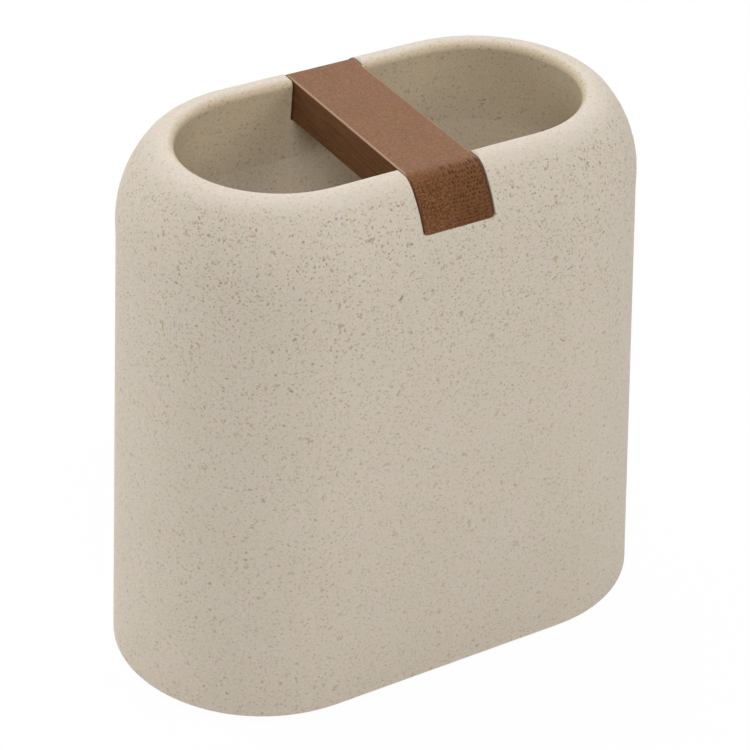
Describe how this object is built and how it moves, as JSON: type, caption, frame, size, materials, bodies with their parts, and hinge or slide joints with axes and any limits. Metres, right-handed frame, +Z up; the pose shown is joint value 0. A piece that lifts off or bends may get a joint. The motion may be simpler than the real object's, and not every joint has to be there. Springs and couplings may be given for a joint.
{
  "type": "toothbrush holder",
  "caption": "Free-standing stadium-shaped cup in matte stone-effect resin, with a bamboo bar laid across its mouth that divides it into compartments.",
  "frame": {"origin": "middle of the footprint, on the surface that the holder stands on", "axes": "+Z up, X along the cup's length, Y across it and along the divider"},
  "size_m": [0.1072, 0.0584, 0.105],
  "materials": {
    "stone_resin": "matte",
    "bamboo_left": "matte",
    "bamboo_right": "matte",
    "foam": "matte"
  },
  "bodies": {
    "holder": {"cup": "stone_resin", "foot_pad": "foam"},
    "divider": {"divider_strip_left": "bamboo_left", "divider_strip_right": "bamboo_right"}
  },
  "joints": [
    {"name": "divider_lift", "type": "slide", "parent": "holder", "child": "divider", "axis": [0, 0, 1], "range_m": [0, 0.02]}
  ]
}
